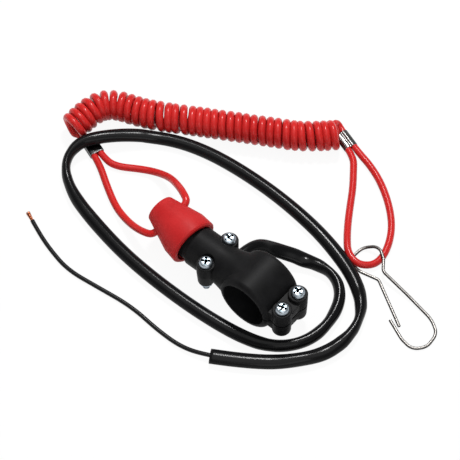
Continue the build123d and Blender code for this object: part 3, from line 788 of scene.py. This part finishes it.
def copperEnd():
    growth = Growth("copperStrands", copperSizes)
    strand = growth.node("GeometryNodeCurveSpiral", None, {
        "Resolution": 16, "Rotations": growth.size("Twist"), "Start Radius": growth.size("Ring Radius"),
        "End Radius": growth.size("Tip Radius"), "Height": growth.size("Length")})
    places = growth.node("GeometryNodePoints", None, {"Count": growth.size("Strands")})
    index = growth.node("GeometryNodeInputIndex")
    turn = growth.sum("DIVIDE", growth.sum("MULTIPLY", index.outputs[0], 2 * math.pi), growth.size("Strands"))
    strands = growth.node("GeometryNodeInstanceOnPoints", None, {
        "Points": places.outputs[0], "Instance": strand.outputs[0], "Rotation": growth.spot(z=turn)})
    real = growth.node("GeometryNodeRealizeInstances", None, {"Geometry": strands.outputs[0]})
    section = growth.node("GeometryNodeCurvePrimitiveCircle", None, {
        "Resolution": 8, "Radius": growth.size("Strand Radius")})
    solid = growth.node("GeometryNodeCurveToMesh", None, {
        "Curve": real.outputs[0], "Profile Curve": section.outputs[0], "Fill Caps": True})
    core = growth.node("GeometryNodeMeshCylinder", {"fill_type": "NGON"}, {
        "Vertices": 12, "Radius": growth.size("Ring Radius"), "Depth": growth.size("Length")})
    rise = growth.sum("MULTIPLY", growth.size("Length"), growth.size("Core Rise"))
    coreUp = growth.node("GeometryNodeTransform", None, {
        "Geometry": core.outputs[0], "Translation": growth.spot(z=rise)})
    made = growth.grow("bareCopper", growth.joined(solid.outputs[0], coreUp.outputs[0]), metals["copper"])
    start = wireRoute[-1] - Vector((0, 0, copperDrop))
    heading = (wireRoute[-1] - wireRoute[-2]).normalized()
    made.data.transform(Matrix.Translation(start) @ heading.to_track_quat("Z", "Y").to_matrix().to_4x4())
    made.data.shade_smooth()
    return made


copper = copperEnd()
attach(copper, "housing")
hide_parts("bare_copper")
print("copper strands grown")

lineLength(capLoopSpots)
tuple(lanyardSpots[0])
lineLength(lanyardSpots)
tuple(sleeveSpots[0])
lineLength(sleeveSpots)
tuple(wireSpots[0])
lineLength(wireSpots)

floorSizes = {"half": 1.6, "colour": (0.86, 0.86, 0.86), "whiteShare": 0.93}


def floorFinish():                           # white to the eye, and it keeps the object's shadow
    made = bpy.data.materials.new("paleFloor")
    made.use_nodes = True
    made.node_tree.nodes.clear()
    wiring = Wiring(made.node_tree)
    lit = wiring.node("ShaderNodeBsdfDiffuse", None, {"Color": floorSizes["colour"]})
    white = wiring.node("ShaderNodeEmission", None, {"Color": (1.0, 1.0, 1.0)})
    seen = wiring.node("ShaderNodeLightPath", output="Is Camera Ray")
    glossy = wiring.node("ShaderNodeLightPath", output="Is Glossy Ray")
    through = wiring.node("ShaderNodeLightPath", output="Is Transmission Ray")
    share = (seen + glossy + through) * floorSizes["whiteShare"]
    both = wiring.node("ShaderNodeMixShader", None, {0: share, 1: lit, 2: white})
    out = made.node_tree.nodes.new("ShaderNodeOutputMaterial")
    wiring.feed(out.inputs[0], both)
    return made


half = floorSizes["half"]
floor = meshObject("floor", [(-half, -half, floorZ), (half, -half, floorZ), (half, half, floorZ),
                             (-half, half, floorZ)], [(0, 1, 2, 3)], floorFinish(), smooth=False)

# The room: pale at the horizon, dark walls, and a bright ceiling panel over the object
roomSizes = {"stops": [(0.0, 0.45), (0.50, 0.45), (0.58, 0.42), (0.64, 0.06), (0.90, 0.07), (0.955, 0.75)],
             "strength": 2.0}
world = bpy.data.worlds.new("studio")
bpy.context.scene.world = world
world.use_nodes = True
room = Wiring(world.node_tree)
upward = room.node("ShaderNodeSeparateXYZ", None, {
    "Vector": room.node("ShaderNodeTexCoord", output="Generated")}, "Z")
shade = room.node("ShaderNodeValToRGB", {"stops": roomSizes["stops"]}, {"Fac": upward * 0.5 + 0.5})
background = world.node_tree.nodes["Background"]
room.feed(background.inputs["Color"], shade)
room.feed(background.inputs["Strength"], roomSizes["strength"])

lampAim = Vector((-0.03, 0.02, 0))
lampSettings = {
    "keySoftbox": {"place": (-0.25, 0.35, 0.75), "size": (0.15, 0.09), "power": 6.0},
    "fillSoftbox": {"place": (0.55, -0.45, 0.55), "size": (0.5, 0.5), "power": 1.6},
}
for name, sizes in lampSettings.items():
    lamp = bpy.data.lights.new(name, "AREA")
    lamp.shape = "RECTANGLE"
    lamp.size, lamp.size_y = sizes["size"]
    lamp.energy = sizes["power"]
    holder = keepObject(name, lamp)
    holder.location = sizes["place"]
    holder.rotation_euler = (lampAim - holder.location).to_track_quat("-Z", "Y").to_euler()

cameraSettings = {"azimuth": 40.0, "elevation": 56.4, "distance": 0.8866, "lens": 156.6,
                  "aim": (-0.029, 0.015, 0.0), "raise": 0.00044}
azimuth, elevation = math.radians(cameraSettings["azimuth"]), math.radians(cameraSettings["elevation"])
backward = Vector((math.sin(azimuth) * math.cos(elevation), -math.cos(azimuth) * math.cos(elevation),
                   math.sin(elevation)))
rightward = Vector((math.cos(azimuth), math.sin(azimuth), 0))
skyward = backward.cross(rightward)
camera = keepObject("camera", bpy.data.cameras.new("camera"))
camera.data.lens = cameraSettings["lens"]
camera.data.sensor_width = 36
camera.data.clip_start = 0.01
camera.matrix_world = Matrix.Translation(
    Vector(cameraSettings["aim"]) + skyward * cameraSettings["raise"] + backward * cameraSettings["distance"]
) @ Matrix((rightward, skyward, backward)).transposed().to_4x4()
bpy.context.scene.camera = camera
bpy.context.scene.view_settings.view_transform = "Standard"
print("floor, light and camera set")
